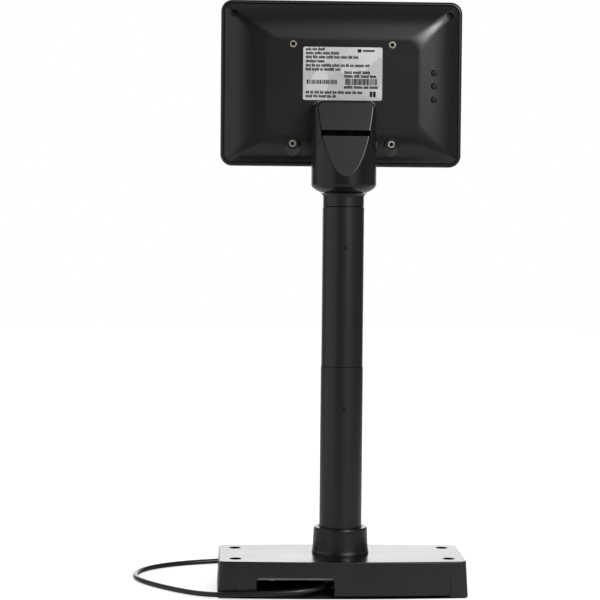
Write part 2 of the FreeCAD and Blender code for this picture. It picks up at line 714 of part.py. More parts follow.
def make_board_screws():
    screws = []
    for places, back, shank, reach in ((board_post_places(), -36.0, 1.15, 7.5),
                                       (key_post_places(), -36.6, 0.75, 5.5)):
        for x, z in places:
            head = rod(2.0, V(x, back - 1.3, z), V(x, back, z))
            screws.append(join(head, rod(shank, V(x, back, z), V(x, back + reach, z))))
    return on_pole(group(screws))


def make_button(z):
    """A push button in the cover's slope, with a flange that keeps it in."""
    cap = rod(BUTTON_R, V(BUTTON_X, -32.4, z), V(BUTTON_X, -24.7, z))
    cap = cap.makeFillet(0.9, edges_where(cap, lambda e: e.BoundBox.YMin > -24.8))
    flange_y = (BUTTON_SEAT_Y - 1.1, BUTTON_SEAT_Y - 0.3)
    flange = rod(BUTTON_FLANGE_R, V(BUTTON_X, flange_y[0], z), V(BUTTON_X, flange_y[1], z))
    return on_pole(join(cap, flange))


def make_rating_label():
    width, height, z = LABEL
    wire = head_outline(width / 2, z - height / 2, z + height / 2, 1.5, BACK_Y + 0.02)
    return on_pole(Part.Face(wire).extrude(V(0, 0.16, 0)))


# ---- cables ------------------------------------------------------------------

def make_pole_cable():
    """From the clamp under the base, up the pole, to the swivel."""
    route = [CORD_EXIT, V(0, POLE_Y, CORD_EXIT.z), V(0, POLE_Y, 36.0)]
    base_part = cord_tube("pole_cable", route)
    return join(base_part, upright(CORD_R, 35.5, 316.5, 0, POLE_Y))


def make_neck_cable():
    return on_pole(upright(CORD_R, 317.0, TILT_Z - 3.0))


def make_head_cable():
    start = V(0, -0.6, TILT_Z)
    return on_pole(cord_tube("head_cable", [start, V(0, -30.2, TILT_Z + 1.0), V(0, -30.2, 373.0)]))


# the free cord's route, from the clamp to the coil
CORD_ROUTE = [
    (8.0, 17.5, 7.2), (11.9, 28.0, 7.2), (20.4, 36.8, 6.7), (34.5, 41.4, 5.9), (53.0, 42.3, 5.1),
    (74.0, 41.7, 4.3), (92.5, 40.2, 3.5), (107.5, 30.6, 2.8), (121.5, 16.0, 2.3), (135.5, -0.5, 2.1),
    (147.5, -16.5, 2.15), (155.5, -35.0, 2.1), (154.5, -55.0, 2.15), (145.5, -72.5, 2.1),
    (130.0, -85.5, 2.15), (111.5, -94.5, 2.2), (89.5, -100.6, 2.3), (65.0, -104.2, 2.5),
    (40.0, -104.5, 2.7),
]
# from the coil's outer turn to the plug
TAIL_ROUTE = [
    (11.8, -84.8, 6.7), (7.7, -73.5, 5.9), (-1.2, -65.5, 4.9), (-12.7, -62.0, 4.05), (-24.5, -62.0, 4.05),
]


def make_cord_lead():
    return cord_tube("cord_lead", [V(*p) for p in CORD_ROUTE])


def make_cord_coil():
    x, y = COIL_CENTRE.x, COIL_CENTRE.y
    low, high = COIL_TURN_R
    return upright_ring(high + CORD_R, low - CORD_R, *COIL_Z, x, y)


def make_cord_tail():
    return cord_tube("cord_tail", [V(*p) for p in TAIL_ROUTE])


def make_cord_tie():
    """A hook-and-loop strap round the coil's bundle."""
    x, y = COIL_CENTRE.x, COIL_CENTRE.y
    half_width = 5.0
    bundle_inner = math.sqrt((COIL_TURN_R[0] - CORD_R) ** 2 - half_width**2)
    low = x + bundle_inner - 0.2
    high = x + COIL_TURN_R[1] + CORD_R + 0.3
    top = COIL_Z[1] + 0.1
    strap = box(low - TIE_STRAP, high + TIE_STRAP, y - half_width, y + half_width, 0.0, top + TIE_STRAP)
    return strap.cut(box(low, high, y - 6, y + 6, TIE_STRAP, top))


def plug_frame(shape):
    """Move a plug drawn along +X from its cord end to where the tail ends."""
    before, end = V(*TAIL_ROUTE[-2]), V(*TAIL_ROUTE[-1])
    heading = math.degrees(math.atan2(end.y - before.y, end.x - before.x))
    moved = shape.copy()
    moved.rotate(V(0, 0, 0), Z_AXIS, heading)
    moved.translate(end)
    return moved


def make_plug_body():
    relief = Part.makeCone(2.6, 3.7, 11.0, V(0, 0, 0), X_AXIS)
    grip = box(10.5, 31.0, -7.4, 7.4, -4.0, 4.0)
    grip = grip.makeFillet(2.2, edges_where(grip, lambda e: abs(e.tangentAt(0).x) > 0.9))
    return plug_frame(join(relief, grip))


def make_plug_shell():
    shell = box(31.0, 43.5, -6.0, 6.0, -2.25, 2.25)
    shell = shell.cut(box(31.6, 44.0, -5.7, 5.7, -1.95, 1.95))
    for y in (-2.6, 2.6):
        shell = shell.cut(box(35.5, 38.0, y - 1.1, y + 1.1, 1.5, 3.0))
    return plug_frame(shell)


def make_plug_contacts():
    tongue = box(31.6, 42.6, -5.5, 5.5, -1.9, 0.0)
    return plug_frame(tongue)


# ---- nodes -------------------------------------------------------------------

NODES = {
    "base_shell": make_base_shell,
    "base_feet": make_base_feet,
    "ballast_plate": make_ballast_plate,
    "ballast_screws": make_ballast_screws,
    "base_spigot": make_base_spigot,
    "flange_screws": make_flange_screws,
    "base_collar": make_base_collar,
    "cable_clamp": make_cable_clamp,
    "clamp_screw": make_clamp_screw,
    "lower_tube": make_lower_tube,
    "tube_coupler": make_tube_coupler,
    "upper_tube": make_upper_tube,
    "tube_screws": make_tube_screws,
    "pivot_post": make_pivot_post,
    "swivel_washers": make_swivel_washers,
    "swivel_nut": make_swivel_nut,
    "pole_cable": make_pole_cable,
    "neck_housing": make_neck_housing,
    "tilt_bracket": make_tilt_bracket,
    "bracket_screws": make_bracket_screws,
    "neck_cable": make_neck_cable,
    "hinge_cap": make_hinge_cap,
    "cap_screws": make_cap_screws,
    "tilt_pins": make_tilt_pins,
    "friction_washers": make_friction_washers,
    "rear_cover": make_rear_cover,
    "front_bezel": make_front_bezel,
    "case_screws": make_case_screws,
    "vesa_inserts": make_vesa_inserts,
    "touch_glass": make_touch_glass,
    "lcd_module": make_lcd_module,
    "controller_board": make_controller_board,
    "key_board": make_key_board,
    "board_screws": make_board_screws,
    "rating_label": make_rating_label,
    "head_cable": make_head_cable,
    "cord_lead": make_cord_lead,
    "cord_coil": make_cord_coil,
    "cord_tie": make_cord_tie,
    "cord_tail": make_cord_tail,
    "plug_body": make_plug_body,
    "plug_shell": make_plug_shell,
    "plug_contacts": make_plug_contacts,
}


def main():
    os.makedirs("parts", exist_ok=True)
    shapes = {name: make() for name, make in NODES.items()}
    for name, z in zip(BUTTON_NAMES, BUTTON_Z):
        shapes[name] = make_button(z)
    for name, shape in shapes.items():
        if not shape.isValid() or not shape.Solids:
            print("check this node:", name)
        shape.exportStep("parts/%s.step" % name)
    print(len(shapes), "nodes written")


main()
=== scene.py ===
import math
import random

import bmesh
import bpy
from mathutils import Matrix, Vector


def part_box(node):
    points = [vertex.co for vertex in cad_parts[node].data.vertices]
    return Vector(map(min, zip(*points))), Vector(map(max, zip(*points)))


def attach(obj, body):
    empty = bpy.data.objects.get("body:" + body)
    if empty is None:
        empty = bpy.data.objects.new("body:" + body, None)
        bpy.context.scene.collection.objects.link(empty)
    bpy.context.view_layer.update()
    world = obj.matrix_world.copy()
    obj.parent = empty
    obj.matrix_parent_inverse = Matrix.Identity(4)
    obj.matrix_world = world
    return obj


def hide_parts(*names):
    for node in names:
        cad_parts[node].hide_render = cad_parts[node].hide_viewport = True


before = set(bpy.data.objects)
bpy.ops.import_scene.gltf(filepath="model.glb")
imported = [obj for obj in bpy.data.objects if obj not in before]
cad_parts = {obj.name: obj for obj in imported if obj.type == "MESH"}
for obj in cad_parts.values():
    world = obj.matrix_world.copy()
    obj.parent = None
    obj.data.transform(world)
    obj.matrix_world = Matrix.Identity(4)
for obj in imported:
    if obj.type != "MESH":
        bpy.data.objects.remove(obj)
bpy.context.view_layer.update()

# A pole-mounted countertop display, seen from behind.  Metres, in the CAD frame:
# +Z up, the screen faces -Y, the table is at z = 0.


# ---- procedural materials ----------------------------------------------------

class Finish:
    """A node material being built, with short ways to add to it."""

    def __init__(self, name, colour, roughness, metallic=0.0, specular=0.5):
        self.material = bpy.data.materials.new(name)
        self.material.use_nodes = True
        self.tree = self.material.node_tree
        self.shader = self.tree.nodes["Principled BSDF"]
        self.set("Base Color", (*colour, 1.0))
        self.set("Roughness", roughness)
        self.set("Metallic", metallic)
        self.set("Specular IOR Level", specular)
        self.set("IOR", 1.5)
        self.places = self.add("ShaderNodeTexCoord").outputs["Object"]
        self.last_bump = None

    def set(self, socket, value):
        self.shader.inputs[socket].default_value = value

    def add(self, kind, **settings):
        node = self.tree.nodes.new(kind)
        for key, value in settings.items():
            setattr(node, key, value)
        return node

    def link(self, source, target):
        self.tree.links.new(source, target)

    def stretched(self, stretch):
        """Object coordinates, scaled more or less along each axis."""
        mapping = self.add("ShaderNodeMapping")
        mapping.inputs["Scale"].default_value = stretch
        self.link(self.places, mapping.inputs["Vector"])
        return mapping.outputs["Vector"]

    def noise(self, size, detail=2.0, stretch=(1, 1, 1)):
        """Soft noise whose blobs are about one size across, in metres."""
        node = self.add("ShaderNodeTexNoise")
        node.inputs["Scale"].default_value = 0.5 / size
        node.inputs["Detail"].default_value = detail
        self.link(self.stretched(stretch), node.inputs["Vector"])
        return node.outputs["Fac"]

    def cells(self, size, feature="F1"):
        """Distance inside Voronoi cells about one size across."""
        node = self.add("ShaderNodeTexVoronoi", feature=feature)
        node.inputs["Scale"].default_value = 1.0 / size
        self.link(self.stretched((1, 1, 1)), node.inputs["Vector"])
        return node.outputs["Distance"]

    def facets(self, size, stretch):
        """A flat random value for each Voronoi cell about one size across."""
        node = self.add("ShaderNodeTexVoronoi", feature="F1")
        node.inputs["Scale"].default_value = 1.0 / size
        self.link(self.stretched(stretch), node.inputs["Vector"])
        split = self.add("ShaderNodeSeparateColor")
        self.link(node.outputs["Color"], split.inputs["Color"])
        return split.outputs["Red"]

    def waves(self, size, direction, distortion=0.0):
        """Parallel bands, one every size metres along an axis."""
        node = self.add("ShaderNodeTexWave", bands_direction=direction)
        node.inputs["Scale"].default_value = math.pi / 10 / size
        node.inputs["Distortion"].default_value = distortion
        self.link(self.stretched((1, 1, 1)), node.inputs["Vector"])
        return node.outputs["Fac"]

    def edges(self, low, high):
        """Rises from 0 to 1 on sharp outer edges."""
        geometry = self.add("ShaderNodeNewGeometry")
        return self.between(geometry.outputs["Pointiness"], 0.0, 1.0, low, high)

    def between(self, value, to_low, to_high, from_low=0.3, from_high=0.7):
        """The value's range, stretched to another range and held at its ends."""
        node = self.add("ShaderNodeMapRange")
        node.inputs["From Min"].default_value = from_low
        node.inputs["From Max"].default_value = from_high
        node.inputs["To Min"].default_value = to_low
        node.inputs["To Max"].default_value = to_high
        self.link(value, node.inputs["Value"])
        return node.outputs["Result"]

    def together(self, first, second, operation="MULTIPLY"):
        """Two values in one sum; an operation on one value ignores the second."""
        node = self.add("ShaderNodeMath", operation=operation)
        self.link(first, node.inputs[0])
        self.link(second, node.inputs[1])
        return node.outputs["Value"]

    def level(self, value):
        """A plain number as a socket, for the stage's own material."""
        node = self.add("ShaderNodeValue")
        node.outputs[0].default_value = value
        return node.outputs[0]

    def blend(self, factor, low, high):
        """A colour between two, or between a socket's colour and another."""
        node = self.add("ShaderNodeMix", data_type="RGBA")
        self.link(factor, node.inputs["Factor"])
        colour_inputs = [socket for socket in node.inputs if socket.type == "RGBA"]
        for socket, colour in zip(colour_inputs, (low, high)):
            if isinstance(colour, tuple):
                socket.default_value = (*colour, 1.0)
            else:
                self.link(colour, socket)
        return next(socket for socket in node.outputs if socket.type == "RGBA")

    def colour(self, source):
        self.link(source, self.shader.inputs["Base Color"])

    def roughness(self, source):
        self.link(source, self.shader.inputs["Roughness"])

    def bump(self, height, depth):
        """Relief of this depth in metres, on top of any relief given before."""
        node = self.add("ShaderNodeBump")
        node.inputs["Distance"].default_value = depth
        self.link(height, node.inputs["Height"])
        if self.last_bump:
            self.link(self.last_bump, node.inputs["Normal"])
        self.last_bump = node.outputs["Normal"]
        self.link(self.last_bump, self.shader.inputs["Normal"])


def shades(colour, dark, light):
    """The colour made darker, and the colour made lighter."""
    return tuple(c * dark for c in colour), tuple(min(c * light, 1.0) for c in colour)


def moulded(name, colour, roughness, grain, depth, specular=0.5):
    """Moulded plastic: spark-eroded grain, faint mottling, edges a little polished."""
    finish = Finish(name, colour, roughness, specular=specular)
    mottle = finish.noise(0.018, 3.0)
    base = finish.blend(mottle, *shades(colour, 0.82, 1.2))
    rubbed = finish.together(finish.edges(0.52, 0.62), finish.noise(0.006, 2.0))
    worn_edge = finish.between(rubbed, 0.0, 0.5, 0.0, 0.7)
    finish.colour(finish.blend(worn_edge, base, tuple(c * 2.2 + 0.006 for c in colour)))
    finish.roughness(finish.between(finish.noise(0.030, 4.0), roughness - 0.035, roughness + 0.035))
    finish.bump(finish.cells(grain, "SMOOTH_F1"), depth)
    finish.bump(finish.noise(grain * 0.45, 1.0), depth * 0.5)
    return finish


def base_plastic():
    return moulded("base_plastic", (0.0060, 0.0060, 0.0064), 0.24, 0.0005, 0.000003)


def collar_plastic():
    return moulded("collar_plastic", (0.0050, 0.0050, 0.0053), 0.27, 0.0004, 0.000003, specular=0.42)


def neck_plastic():
    return moulded("neck_plastic", (0.0060, 0.0060, 0.0064), 0.23, 0.0004, 0.000006, specular=0.40)


def cover_plastic():
    return moulded("cover_plastic", (0.0055, 0.0055, 0.0060), 0.23, 0.0004, 0.000006)


def bezel_plastic():
    return moulded("bezel_plastic", (0.0060, 0.0060, 0.0064), 0.26, 0.0004, 0.000006)


def button_plastic():
    return moulded("button_plastic", (0.0055, 0.0055, 0.0058), 0.27, 0.0003, 0.000003)


def nylon():
    return moulded("nylon", (0.0130, 0.0130, 0.0135), 0.46, 0.0006, 0.000008)


def pole_paint():
    """Satin powder coat: orange peel with finer grain in it."""
    finish = Finish("pole_paint", (0.0060, 0.0060, 0.0064), 0.33, specular=0.46)
    fleck = finish.noise(0.0012, 2.0)
    finish.colour(finish.blend(fleck, (0.0045, 0.0045, 0.0048), (0.0080, 0.0080, 0.0084)))
    finish.roughness(finish.between(finish.noise(0.020, 4.0), 0.30, 0.36))
    finish.bump(finish.noise(0.0009, 1.5), 0.000022)
    finish.bump(finish.noise(0.0003, 1.0), 0.000006)
    return finish


def bracket_paint():
    """Dull black dip paint on the folded bracket, thin at its edges."""
    finish = Finish("bracket_paint", (0.0040, 0.0040, 0.0042), 0.72, specular=0.2)
    bare_edge = finish.edges(0.56, 0.66)
    finish.colour(finish.blend(bare_edge, (0.0035, 0.0035, 0.0037), (0.020, 0.020, 0.021)))
    finish.roughness(finish.between(finish.noise(0.003, 3.0), 0.64, 0.80))
    finish.bump(finish.noise(0.0008, 2.0), 0.000015)
    return finish


def inner_jacket():
    """The dull jacket of the cable where it runs inside the stand."""
    finish = Finish("inner_jacket", (0.0045, 0.0045, 0.0048), 0.62, specular=0.25)
    finish.roughness(finish.between(finish.noise(0.004, 3.0), 0.55, 0.70))
    finish.bump(finish.noise(0.0012, 2.0), 0.000020)
    return finish


def rubber():
    """Matt rubber feet with dust in their pores."""
    colour = (0.020, 0.020, 0.020)
    finish = Finish("foot_rubber", colour, 0.78, specular=0.35)
    dust = finish.noise(0.004, 5.0)
    finish.colour(finish.blend(dust, *shades(colour, 0.7, 1.8)))
    finish.roughness(finish.between(finish.noise(0.002, 3.0), 0.70, 0.88))
    finish.bump(finish.noise(0.0006, 3.0), 0.000030)
    return finish


def plated(name, colour, roughness, lines=(1, 1, 12)):
    """Plated or bare metal with fine scratches, which run across the stretched axis, and soft staining."""
    finish = Finish(name, colour, roughness, metallic=1.0)
    stain = finish.noise(0.010, 5.0)
    finish.colour(finish.blend(stain, *shades(colour, 0.78, 1.12)))
    scratch = finish.noise(0.0008, 3.0, lines)
    finish.roughness(finish.between(scratch, roughness - 0.08, roughness + 0.12))
    finish.bump(scratch, 0.000008)
    return finish


def plate_steel():
    """Rolled plate with mill scale."""
    finish = plated("plate_steel", (0.36, 0.37, 0.38), 0.42)
    finish.bump(finish.noise(0.0025, 4.0), 0.000040)
    return finish


def fastener_steel():
    return plated("fastener_steel", (0.55, 0.55, 0.54), 0.32)


def black_screw():
    finish = plated("black_screw", (0.035, 0.035, 0.037), 0.34)
    finish.set("Metallic", 0.75)
    return finish


def spigot_steel():
    return plated("spigot_steel", (0.46, 0.46, 0.47), 0.36, (12, 12, 1))


def lcd_metal():
    return plated("lcd_metal", (0.58, 0.59, 0.61), 0.30, (12, 1, 1))


def brass_insert():
    """Brass with turning marks and darker oxide in the low places."""
    finish = plated("brass_insert", (0.66, 0.60, 0.47), 0.30)
    oxide = finish.between(finish.noise(0.0012, 4.0), 0.0, 1.0, 0.45, 0.70)
    finish.colour(finish.blend(oxide, (0.70, 0.64, 0.52), (0.30, 0.24, 0.15)))
    return finish


def plug_metal():
    return plated("plug_metal", (0.72, 0.71, 0.68), 0.22, (1, 8, 8))


def screen_glass():
    """Clear cover glass with a trace of finger grease in its gloss."""
    finish = Finish("screen_glass", (0.93, 0.96, 0.96), 0.03)
    finish.set("Transmission Weight", 1.0)
    smear = finish.noise(0.030, 1.5, (1.0, 1.0, 2.2))
    finish.roughness(finish.between(smear, 0.010, 0.030, 0.35, 0.75))
    return finish


def screen_mask():
    """Black ink, printed on the back of the glass."""
    finish = Finish("screen_mask", (0.004, 0.004, 0.004), 0.45)
    finish.roughness(finish.between(finish.noise(0.0015, 2.0), 0.40, 0.52))
    finish.bump(finish.noise(0.0004, 1.0), 0.000002)
    return finish


def display_panel():
    """The switched-off LCD: grey-green polariser over a fine pixel grid."""
    finish = Finish("display_panel", (0.014, 0.016, 0.018), 0.30, specular=0.15)
    columns = finish.waves(0.000192, "X")
    rows = finish.waves(0.000180, "Z")
    grid = finish.together(columns, rows)
    finish.colour(finish.blend(grid, (0.010, 0.012, 0.014), (0.022, 0.025, 0.028)))
    finish.roughness(finish.between(finish.noise(0.004, 3.0), 0.26, 0.34))
    return finish


def circuit_board():
    """Solder mask over copper: tracks, pads and vias."""
    finish = Finish("circuit_board", (0.010, 0.070, 0.030), 0.32)
    tracks = finish.between(finish.cells(0.0042, "DISTANCE_TO_EDGE"), 1.0, 0.0, 0.02, 0.05)
    mask = finish.blend(tracks, (0.008, 0.055, 0.022), (0.022, 0.120, 0.050))
    pads = finish.between(finish.cells(0.0031), 1.0, 0.0, 0.10, 0.14)
    finish.colour(finish.blend(pads, mask, (0.62, 0.60, 0.55)))
    finish.roughness(finish.between(finish.noise(0.003, 2.0), 0.26, 0.40))
    finish.bump(tracks, 0.000030)
    return finish


def label_film():
    """Silvered polyester film: dents with flat sides and faint creases; each flat's shine is painted into
    the colour, lighter or darker, as a painted reflection.
    """
    finish = Finish("label_film", (0.56, 0.57, 0.58), 0.30, metallic=0.15)
    cloud = finish.noise(0.010, 1.0, (1, 1, 1.4))
    # painted reflection: lighter and darker patches of colour stand in for each flat's shine
    patches = finish.together(finish.facets(0.013, (1, 1, 0.8)), cloud)
    painted_sheen = finish.between(patches, 0.0, 1.0, 0.05, 0.50)
    finish.colour(finish.blend(painted_sheen, (0.64, 0.64, 0.65), (0.88, 0.88, 0.88)))
    finish.roughness(finish.between(cloud, 0.36, 0.24))
    finish.bump(finish.noise(0.011, 1.0), 0.000250)
    finish.bump(finish.noise(0.0005, 2.0), 0.000003)
    return finish


def label_ink():
    """Dull thermal print, a little broken."""
    finish = Finish("label_ink", (0.005, 0.005, 0.006), 0.62, specular=0.15)
    broken = finish.noise(0.00025, 3.0)
    finish.colour(finish.blend(broken, (0.003, 0.003, 0.004), (0.010, 0.010, 0.011)))
    finish.roughness(finish.between(broken, 0.55, 0.72))
    return finish


def cable_jacket():
    """Glossy PVC, faintly uneven along its length from the extruder."""
    finish = Finish("cable_jacket", (0.0060, 0.0060, 0.0063), 0.24)
    pull = finish.noise(0.006, 3.0)
    finish.colour(finish.blend(pull, (0.0045, 0.0045, 0.0048), (0.0085, 0.0085, 0.0089)))
    finish.roughness(finish.between(finish.noise(0.010, 4.0), 0.19, 0.31))
    finish.bump(pull, 0.000035)
    finish.bump(finish.noise(0.0007, 2.0), 0.000004)
    return finish


def plug_plastic():
    return moulded("plug_plastic", (0.0070, 0.0070, 0.0074), 0.40, 0.0004, 0.000008)


def strap_fabric():
    """Woven loop tape with a fuzzy nap."""
    finish = Finish("strap_fabric", (0.018, 0.018, 0.019), 0.92, specular=0.25)
    weft = finish.waves(0.00055, "Y", 1.5)
    fuzz = finish.noise(0.00035, 4.0)
    thread = finish.together(weft, fuzz)
    finish.colour(finish.blend(thread, (0.009, 0.009, 0.010), (0.055, 0.055, 0.058)))
    finish.set("Sheen Weight", 0.35)
    finish.set("Sheen Roughness", 0.6)
    finish.bump(thread, 0.000120)
    return finish


FINISHES = {
    base_plastic: ["base_shell"],
    rubber: ["base_feet"],
    plate_steel: ["ballast_plate"],
    fastener_steel: ["ballast_screws", "flange_screws", "clamp_screw", "tilt_pins", "cap_screws",
                     "bracket_screws", "board_screws"],
    black_screw: ["tube_screws", "case_screws"],
    collar_plastic: ["base_collar"],
    spigot_steel: ["base_spigot", "tube_coupler", "swivel_nut"],
    pole_paint: ["lower_tube", "upper_tube", "pivot_post"],
    bracket_paint: ["tilt_bracket"],
    inner_jacket: ["pole_cable", "neck_cable", "head_cable"],
    nylon: ["cable_clamp", "swivel_washers", "friction_washers"],
    neck_plastic: ["neck_housing", "hinge_cap"],
    cover_plastic: ["rear_cover"],
    bezel_plastic: ["front_bezel"],
    brass_insert: ["vesa_inserts"],
    screen_glass: ["touch_glass"],
    lcd_metal: ["lcd_module"],
    circuit_board: ["controller_board", "key_board"],
    label_film: ["rating_label"],
    button_plastic: ["button_menu", "button_adjust", "button_power"],
    cable_jacket: ["cord_lead", "cord_coil", "cord_tail"],
    strap_fabric: ["cord_tie"],
    plug_plastic: ["plug_body"],
    plug_metal: ["plug_shell", "plug_contacts"],
}
MATERIALS = {}


def material(make):
    """One material for each finish, made when it is first asked for."""
    if make not in MATERIALS:
        MATERIALS[make] = make().material
    return MATERIALS[make]


def paint(piece, make):
    """Give a piece this finish and no other."""
    piece.data.materials.clear()
    piece.data.materials.append(material(make))


for make, names in FINISHES.items():
    for name in names:
        paint(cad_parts[name], make)


# ---- mesh helpers ------------------------------------------------------------

def new_piece(name, mesh, make, body):
    """A mesh object with its finish and the body it rides on."""
    data = bpy.data.meshes.new(name)
    mesh.normal_update()
    mesh.to_mesh(data)
    mesh.free()
    piece = bpy.data.objects.new(name, data)
    bpy.context.scene.collection.objects.link(piece)
    paint(piece, make)
    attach(piece, body)
    return piece


def add_block(mesh, low, high):
    """A box between two corners, added to a mesh."""
    size = Vector(high) - Vector(low)
    middle = (Vector(high) + Vector(low)) / 2
    placed = Matrix.Translation(middle) @ Matrix.Diagonal((*size, 1.0))
    bmesh.ops.create_cube(mesh, size=1.0, matrix=placed)


CORNER_STEPS = 8


def add_rounded_plate(mesh, centre, size, radius, y_low, y_high, hole=None, hole_radius=0.0):
    """An upright plate between two depths, with round corners and perhaps a window."""

    def outline(width, height, corner):
        spots = []
        for quarter, (side, rise) in enumerate(((1, 1), (-1, 1), (-1, -1), (1, -1))):
            for step in range(CORNER_STEPS + 1):
                angle = math.radians(90 * quarter + 90 * step / CORNER_STEPS)
                spots.append((centre[0] + side * (width / 2 - corner) + corner * math.cos(angle),
                              centre[1] + rise * (height / 2 - corner) + corner * math.sin(angle)))
        return spots

    def ring_of_points(spots, y):
        return [mesh.verts.new((x, y, z)) for x, z in spots]

    def wall(first, second):
        for here, after, up, across in zip(first, first[1:] + first[:1], second, second[1:] + second[:1]):
            mesh.faces.new((here, after, across, up))

    outer = [ring_of_points(outline(*size, radius), y) for y in (y_low, y_high)]
    wall(outer[1], outer[0])
    if hole is None:
        mesh.faces.new(outer[0][::-1])
        mesh.faces.new(outer[1])
        return
    inner = [ring_of_points(outline(*hole, hole_radius), y) for y in (y_low, y_high)]
    wall(inner[0], inner[1])
    wall(inner[1], outer[1])
    wall(outer[0], inner[0])


def add_loft(mesh, rings):
    """A closed solid through rings of points, each ring with the same count."""
    skin = [[mesh.verts.new(point) for point in ring] for ring in rings]
    for here, after in zip(skin, skin[1:]):
        for index in range(len(here)):
            following = (index + 1) % len(here)
            mesh.faces.new((here[index], here[following], after[following], after[index]))
    mesh.faces.new(skin[0][::-1])
    mesh.faces.new(skin[-1])
    bmesh.ops.recalc_face_normals(mesh, faces=mesh.faces)


def smooth(piece, angle):
    """Smooth shading except across edges sharper than the angle."""
    piece.data.shade_smooth()
    piece.data.set_sharp_from_angle(angle=math.radians(angle))


# ---- the rating label's print ------------------------------------------------

# all in mm from the label's top left corner
LABEL_ROWS = [                     # left end, right end, the row's middle
    (2.0, 17.3, 1.9), (2.0, 28.3, 4.8), (2.0, 42.0, 7.8), (2.0, 16.5, 10.9), (2.0, 50.0, 14.0),
    (2.0, 29.0, 17.0), (31.2, 50.5, 19.2), (31.2, 55.4, 22.1), (31.0, 57.0, 30.3),
    (2.0, 45.0, 34.3), (2.0, 25.0, 37.2),
]
LABEL_BARCODES = [(2.9, 25.4, 24.7, 27.9), (32.0, 55.9, 23.7, 28.4)]     # left, right, top, bottom
LABEL_MARKS = [                    # left, top, right, bottom
    (41.2, 1.4, 44.0, 3.9), (45.0, 2.0, 54.1, 3.3), (50.6, 33.2, 52.6, 37.4), (53.1, 33.2, 55.1, 37.4),
]
TYPE_WIDTH = (0.50, 0.95)          # a block of type: narrowest, widest
TYPE_RISE = 0.95                   # above the row's middle
TALL_TYPE_RISE = 1.40
TALL_TYPE_SHARE = 0.3
TYPE_DROP = 0.90                   # below the row's middle
TYPE_GAP = 0.16
WORD_GAP = 0.70
WORD_LENGTH = (3, 9)
ROW_SLACK = 0.5                    # a row ends within this of its right end
BAR_WIDTHS = (0.35, 0.35, 0.70, 1.05)
BAR_GAPS = (0.25, 0.25, 0.5)
BAR_SLACK = 0.6
INK_BELOW = 0.00001                # the ink's layer, in metres, into the film and out of it
INK_ABOVE = 0.00003


def make_label_print():
    """Placeholder print: rows of blank type blocks, two bar patterns and plain marks."""
    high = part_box("rating_label")[1]
    mesh = bmesh.new()
    draw = random.Random(7)

    def block(left, top, right, bottom):
        add_block(mesh, (high.x - right / 1000, high.y - INK_BELOW, high.z - bottom / 1000),
                  (high.x - left / 1000, high.y + INK_ABOVE, high.z - top / 1000))

    for left, right, middle in LABEL_ROWS:
        at = left
        word_left = draw.randint(*WORD_LENGTH)
        while at < right - ROW_SLACK:
            width = draw.uniform(*TYPE_WIDTH)
            rise = TALL_TYPE_RISE if draw.random() < TALL_TYPE_SHARE else TYPE_RISE
            block(at, middle - rise, at + width, middle + TYPE_DROP)
            word_left -= 1
            at += width + TYPE_GAP
            if word_left == 0:
                at += WORD_GAP
                word_left = draw.randint(*WORD_LENGTH)
    for left, right, top, bottom in LABEL_BARCODES:
        at = left
        while at < right - BAR_SLACK:
            width = draw.choice(BAR_WIDTHS)
            block(at, top, at + width, bottom)
            at += width + draw.choice(BAR_GAPS)
    for mark in LABEL_MARKS:
        block(*mark)
    new_piece("label_print", mesh, label_ink, "head")


make_label_print()


# ---- the screen --------------------------------------------------------------

ACTIVE_AREA = (0.1541, 0.0860)
ACTIVE_CORNER = 0.0004
MASK_CORNER = 0.0060
MASK_SHORT = 0.0004                # the mask is this much smaller than the glass
MASK_BACK = 0.00001                # it is printed in the glass's back face, and stands out this much
MASK_FRONT = 0.00003
PANEL_OVERLAP = 0.002              # the display's front runs on behind the mask
PANEL_CORNER = 0.0005
PANEL_FRONT = 0.000015             # behind the glass
PANEL_BACK = 0.000045


def make_screen():
    """The black printed border behind the cover glass, and the display's front."""
    low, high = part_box("touch_glass")
    centre = ((low.x + high.x) / 2, (low.z + high.z) / 2)
    glass_back = high.y
    mesh = bmesh.new()
    border = (high.x - low.x - MASK_SHORT, high.z - low.z - MASK_SHORT)
    add_rounded_plate(mesh, centre, border, MASK_CORNER, glass_back - MASK_FRONT, glass_back + MASK_BACK,
                      ACTIVE_AREA, ACTIVE_CORNER)
    new_piece("screen_mask", mesh, screen_mask, "head")
    mesh = bmesh.new()
    panel = (ACTIVE_AREA[0] + PANEL_OVERLAP, ACTIVE_AREA[1] + PANEL_OVERLAP)
    add_rounded_plate(mesh, centre, panel, PANEL_CORNER, glass_back + PANEL_FRONT, glass_back + PANEL_BACK)
    new_piece("display_panel", mesh, display_panel, "head")


make_screen()


# ---- the cord ----------------------------------------------------------------

CORD_RADIUS = 0.0020
CORD_ROUTE = [               # out of the notch, round the base's end and on to the coil behind it
    (0.0080, 0.0175, 0.0072), (0.0119, 0.0280, 0.0072), (0.0204, 0.0368, 0.0067),
    (0.0345, 0.0414, 0.0059), (0.0530, 0.0423, 0.0051), (0.0740, 0.0417, 0.0043),
    (0.0925, 0.0402, 0.0035), (0.1075, 0.0306, 0.0028), (0.1215, 0.0160, 0.0023),
    (0.1355, -0.0005, 0.0021), (0.1475, -0.0165, 0.00215), (0.1555, -0.0350, 0.0021),
    (0.1545, -0.0550, 0.00215), (0.1455, -0.0725, 0.0021), (0.1300, -0.0855, 0.00215),
    (0.1115, -0.0945, 0.0022), (0.0895, -0.1006, 0.0023), (0.0650, -0.1042, 0.0025),
    (0.0400, -0.1045, 0.0027),
]
TAIL_ROUTE = [               # from the coil to the plug
    (0.0118, -0.0848, 0.0067), (0.0077, -0.0735, 0.0059), (-0.0012, -0.0655, 0.0049),
    (-0.0127, -0.0620, 0.00405), (-0.0245, -0.0620, 0.00405),
]
COIL_CENTRE = (0.0400, -0.0745)
COIL_OUTER = 0.0300          # the outermost turn
TURN_STEP = 0.00405          # from one turn to the next one inside it
